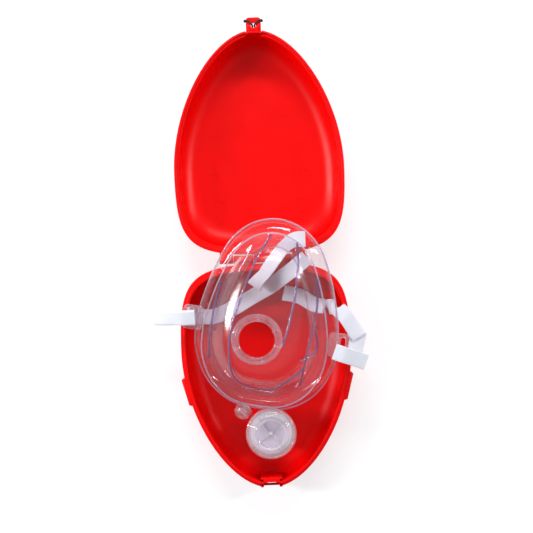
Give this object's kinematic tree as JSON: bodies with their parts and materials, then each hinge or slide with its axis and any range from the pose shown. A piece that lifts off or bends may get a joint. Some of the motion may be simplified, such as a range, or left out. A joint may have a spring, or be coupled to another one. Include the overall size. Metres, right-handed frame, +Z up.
{
  "type": "pocket resuscitation mask kit",
  "caption": "Hinged teardrop carrying case, open flat, holding a clear resuscitation face mask with inflated cushion, head strap and one-way valve.",
  "frame": {"origin": "centre of the case base's flat underside, on the table", "axes": "+Z up; +Y from the base across the hinge towards the lid; +X to the right seen from above with the lid away from the viewer"},
  "size_m": [0.14, 0.3121, 0.0665],
  "materials": {
    "case_plastic": "semi-gloss moulded polypropylene, fine grain",
    "latch_plastic": "semi-gloss moulded polypropylene",
    "pin_metal": "drawn steel wire",
    "cord": "braided elastic cord",
    "mask_clear": "clear flexible PVC, glossy",
    "collar_clear": "clear flexible PVC, thick section",
    "cushion_film": "clear soft PVC film, glossy",
    "fitting_clear": "clear moulded PVC",
    "valve_clear": "clear rigid polycarbonate, polished",
    "filter_media": "white non-woven filter felt",
    "diaphragm_silicone": "translucent silicone",
    "strap_elastic": "white woven elastic tape"
  },
  "bodies": {
    "base": {"case_base": "case_plastic", "hinge_pin": "pin_metal"},
    "lid": {"case_lid": "case_plastic"},
    "latch": {"latch_tongue": "latch_plastic", "tie_cord": "cord"},
    "mask": {"mask_dome": "mask_clear", "port_collar": "collar_clear", "cushion": "cushion_film", "ear_left": "collar_clear", "ear_right": "collar_clear", "inflation_stem": "fitting_clear", "strap_left": "strap_elastic", "strap_end": "strap_elastic", "strap_right": "strap_elastic", "strap_turn": "strap_elastic", "strap_tail": "strap_elastic", "strap_stub": "strap_elastic"},
    "plug": {"inflation_plug": "fitting_clear"},
    "valve": {"valve_connector": "valve_clear", "valve_filter": "filter_media", "valve_spider": "valve_clear", "valve_housing": "valve_clear", "valve_mouthpiece": "valve_clear"},
    "diaphragm": {"valve_diaphragm": "diaphragm_silicone"}
  },
  "joints": [
    {"name": "lid_hinge", "type": "hinge", "parent": "base", "child": "lid", "pos_m": [0, 0.078, 0.028], "axis": [1, 0, 0], "range_deg": [0, 180]},
    {"name": "latch_flex", "type": "hinge", "parent": "lid", "child": "latch", "pos_m": [0, 0.2274, 0.0264], "axis": [-1, 0, 0], "range_deg": [0, 18], "stiffness_Nm_per_rad": 0.02},
    {"name": "mask_lift", "type": "slide", "parent": "base", "child": "mask", "axis": [0, 0, 1], "range_m": [0, 0.385]},
    {"name": "valve_lift", "type": "slide", "parent": "base", "child": "valve", "axis": [0, 0, 1], "range_m": [0, 0.385]},
    {"name": "plug_pull", "type": "slide", "parent": "mask", "child": "plug", "axis": [-0.4545, -0.6682, 0.589], "range_m": [0, 0.008]},
    {"name": "diaphragm_flutter", "type": "slide", "parent": "valve", "child": "diaphragm", "axis": [0, 0, 1], "range_m": [0, 0.0009], "stiffness_N_per_m": 4}
  ],
  "couplings": [
    {"joint": "mask_lift", "follows": "lid_hinge", "m_per_rad": 0.12096},
    {"joint": "valve_lift", "follows": "lid_hinge", "m_per_rad": 0.12096}
  ]
}
